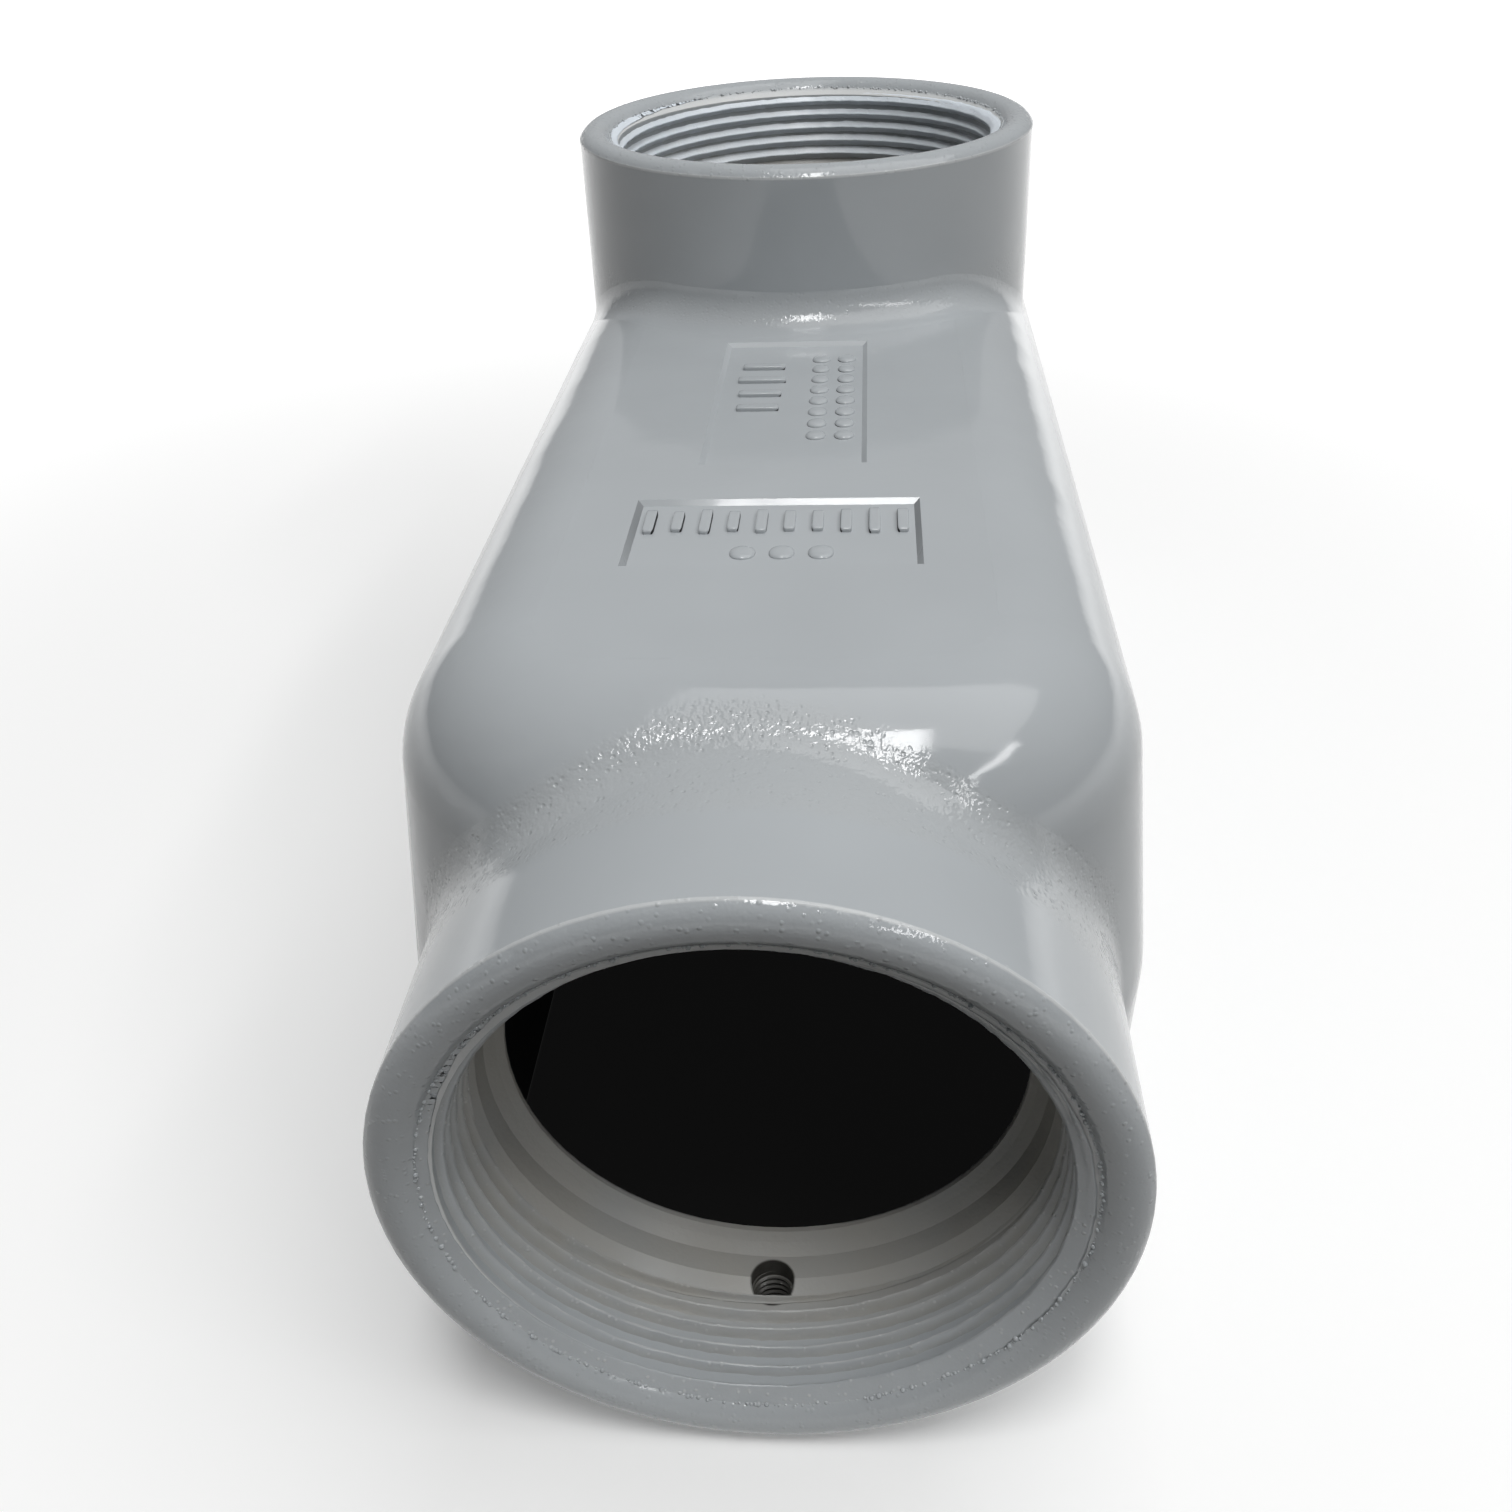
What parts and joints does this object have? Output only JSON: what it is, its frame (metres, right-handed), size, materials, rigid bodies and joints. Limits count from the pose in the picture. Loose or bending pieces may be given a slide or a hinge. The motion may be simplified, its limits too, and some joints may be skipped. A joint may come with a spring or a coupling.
{
  "type": "conduit body",
  "caption": "Right-angle conduit body: one hollow casting with a threaded hub at its end, a threaded hub on its back and a cover opening underneath.",
  "frame": {"origin": "middle of the underside, on the plane of the cover seat", "axes": "+Y runs along the body from the end hub towards the back hub, +Z points out of the back hub, +X is to the right when looking into the end hub"},
  "size_m": [0.121, 0.3064, 0.1461],
  "materials": {
    "enamelled_casting": "glossy light grey enamel over a sand-cast surface"
  },
  "bodies": {
    "root": {"body": "enamelled_casting"}
  },
  "joints": []
}
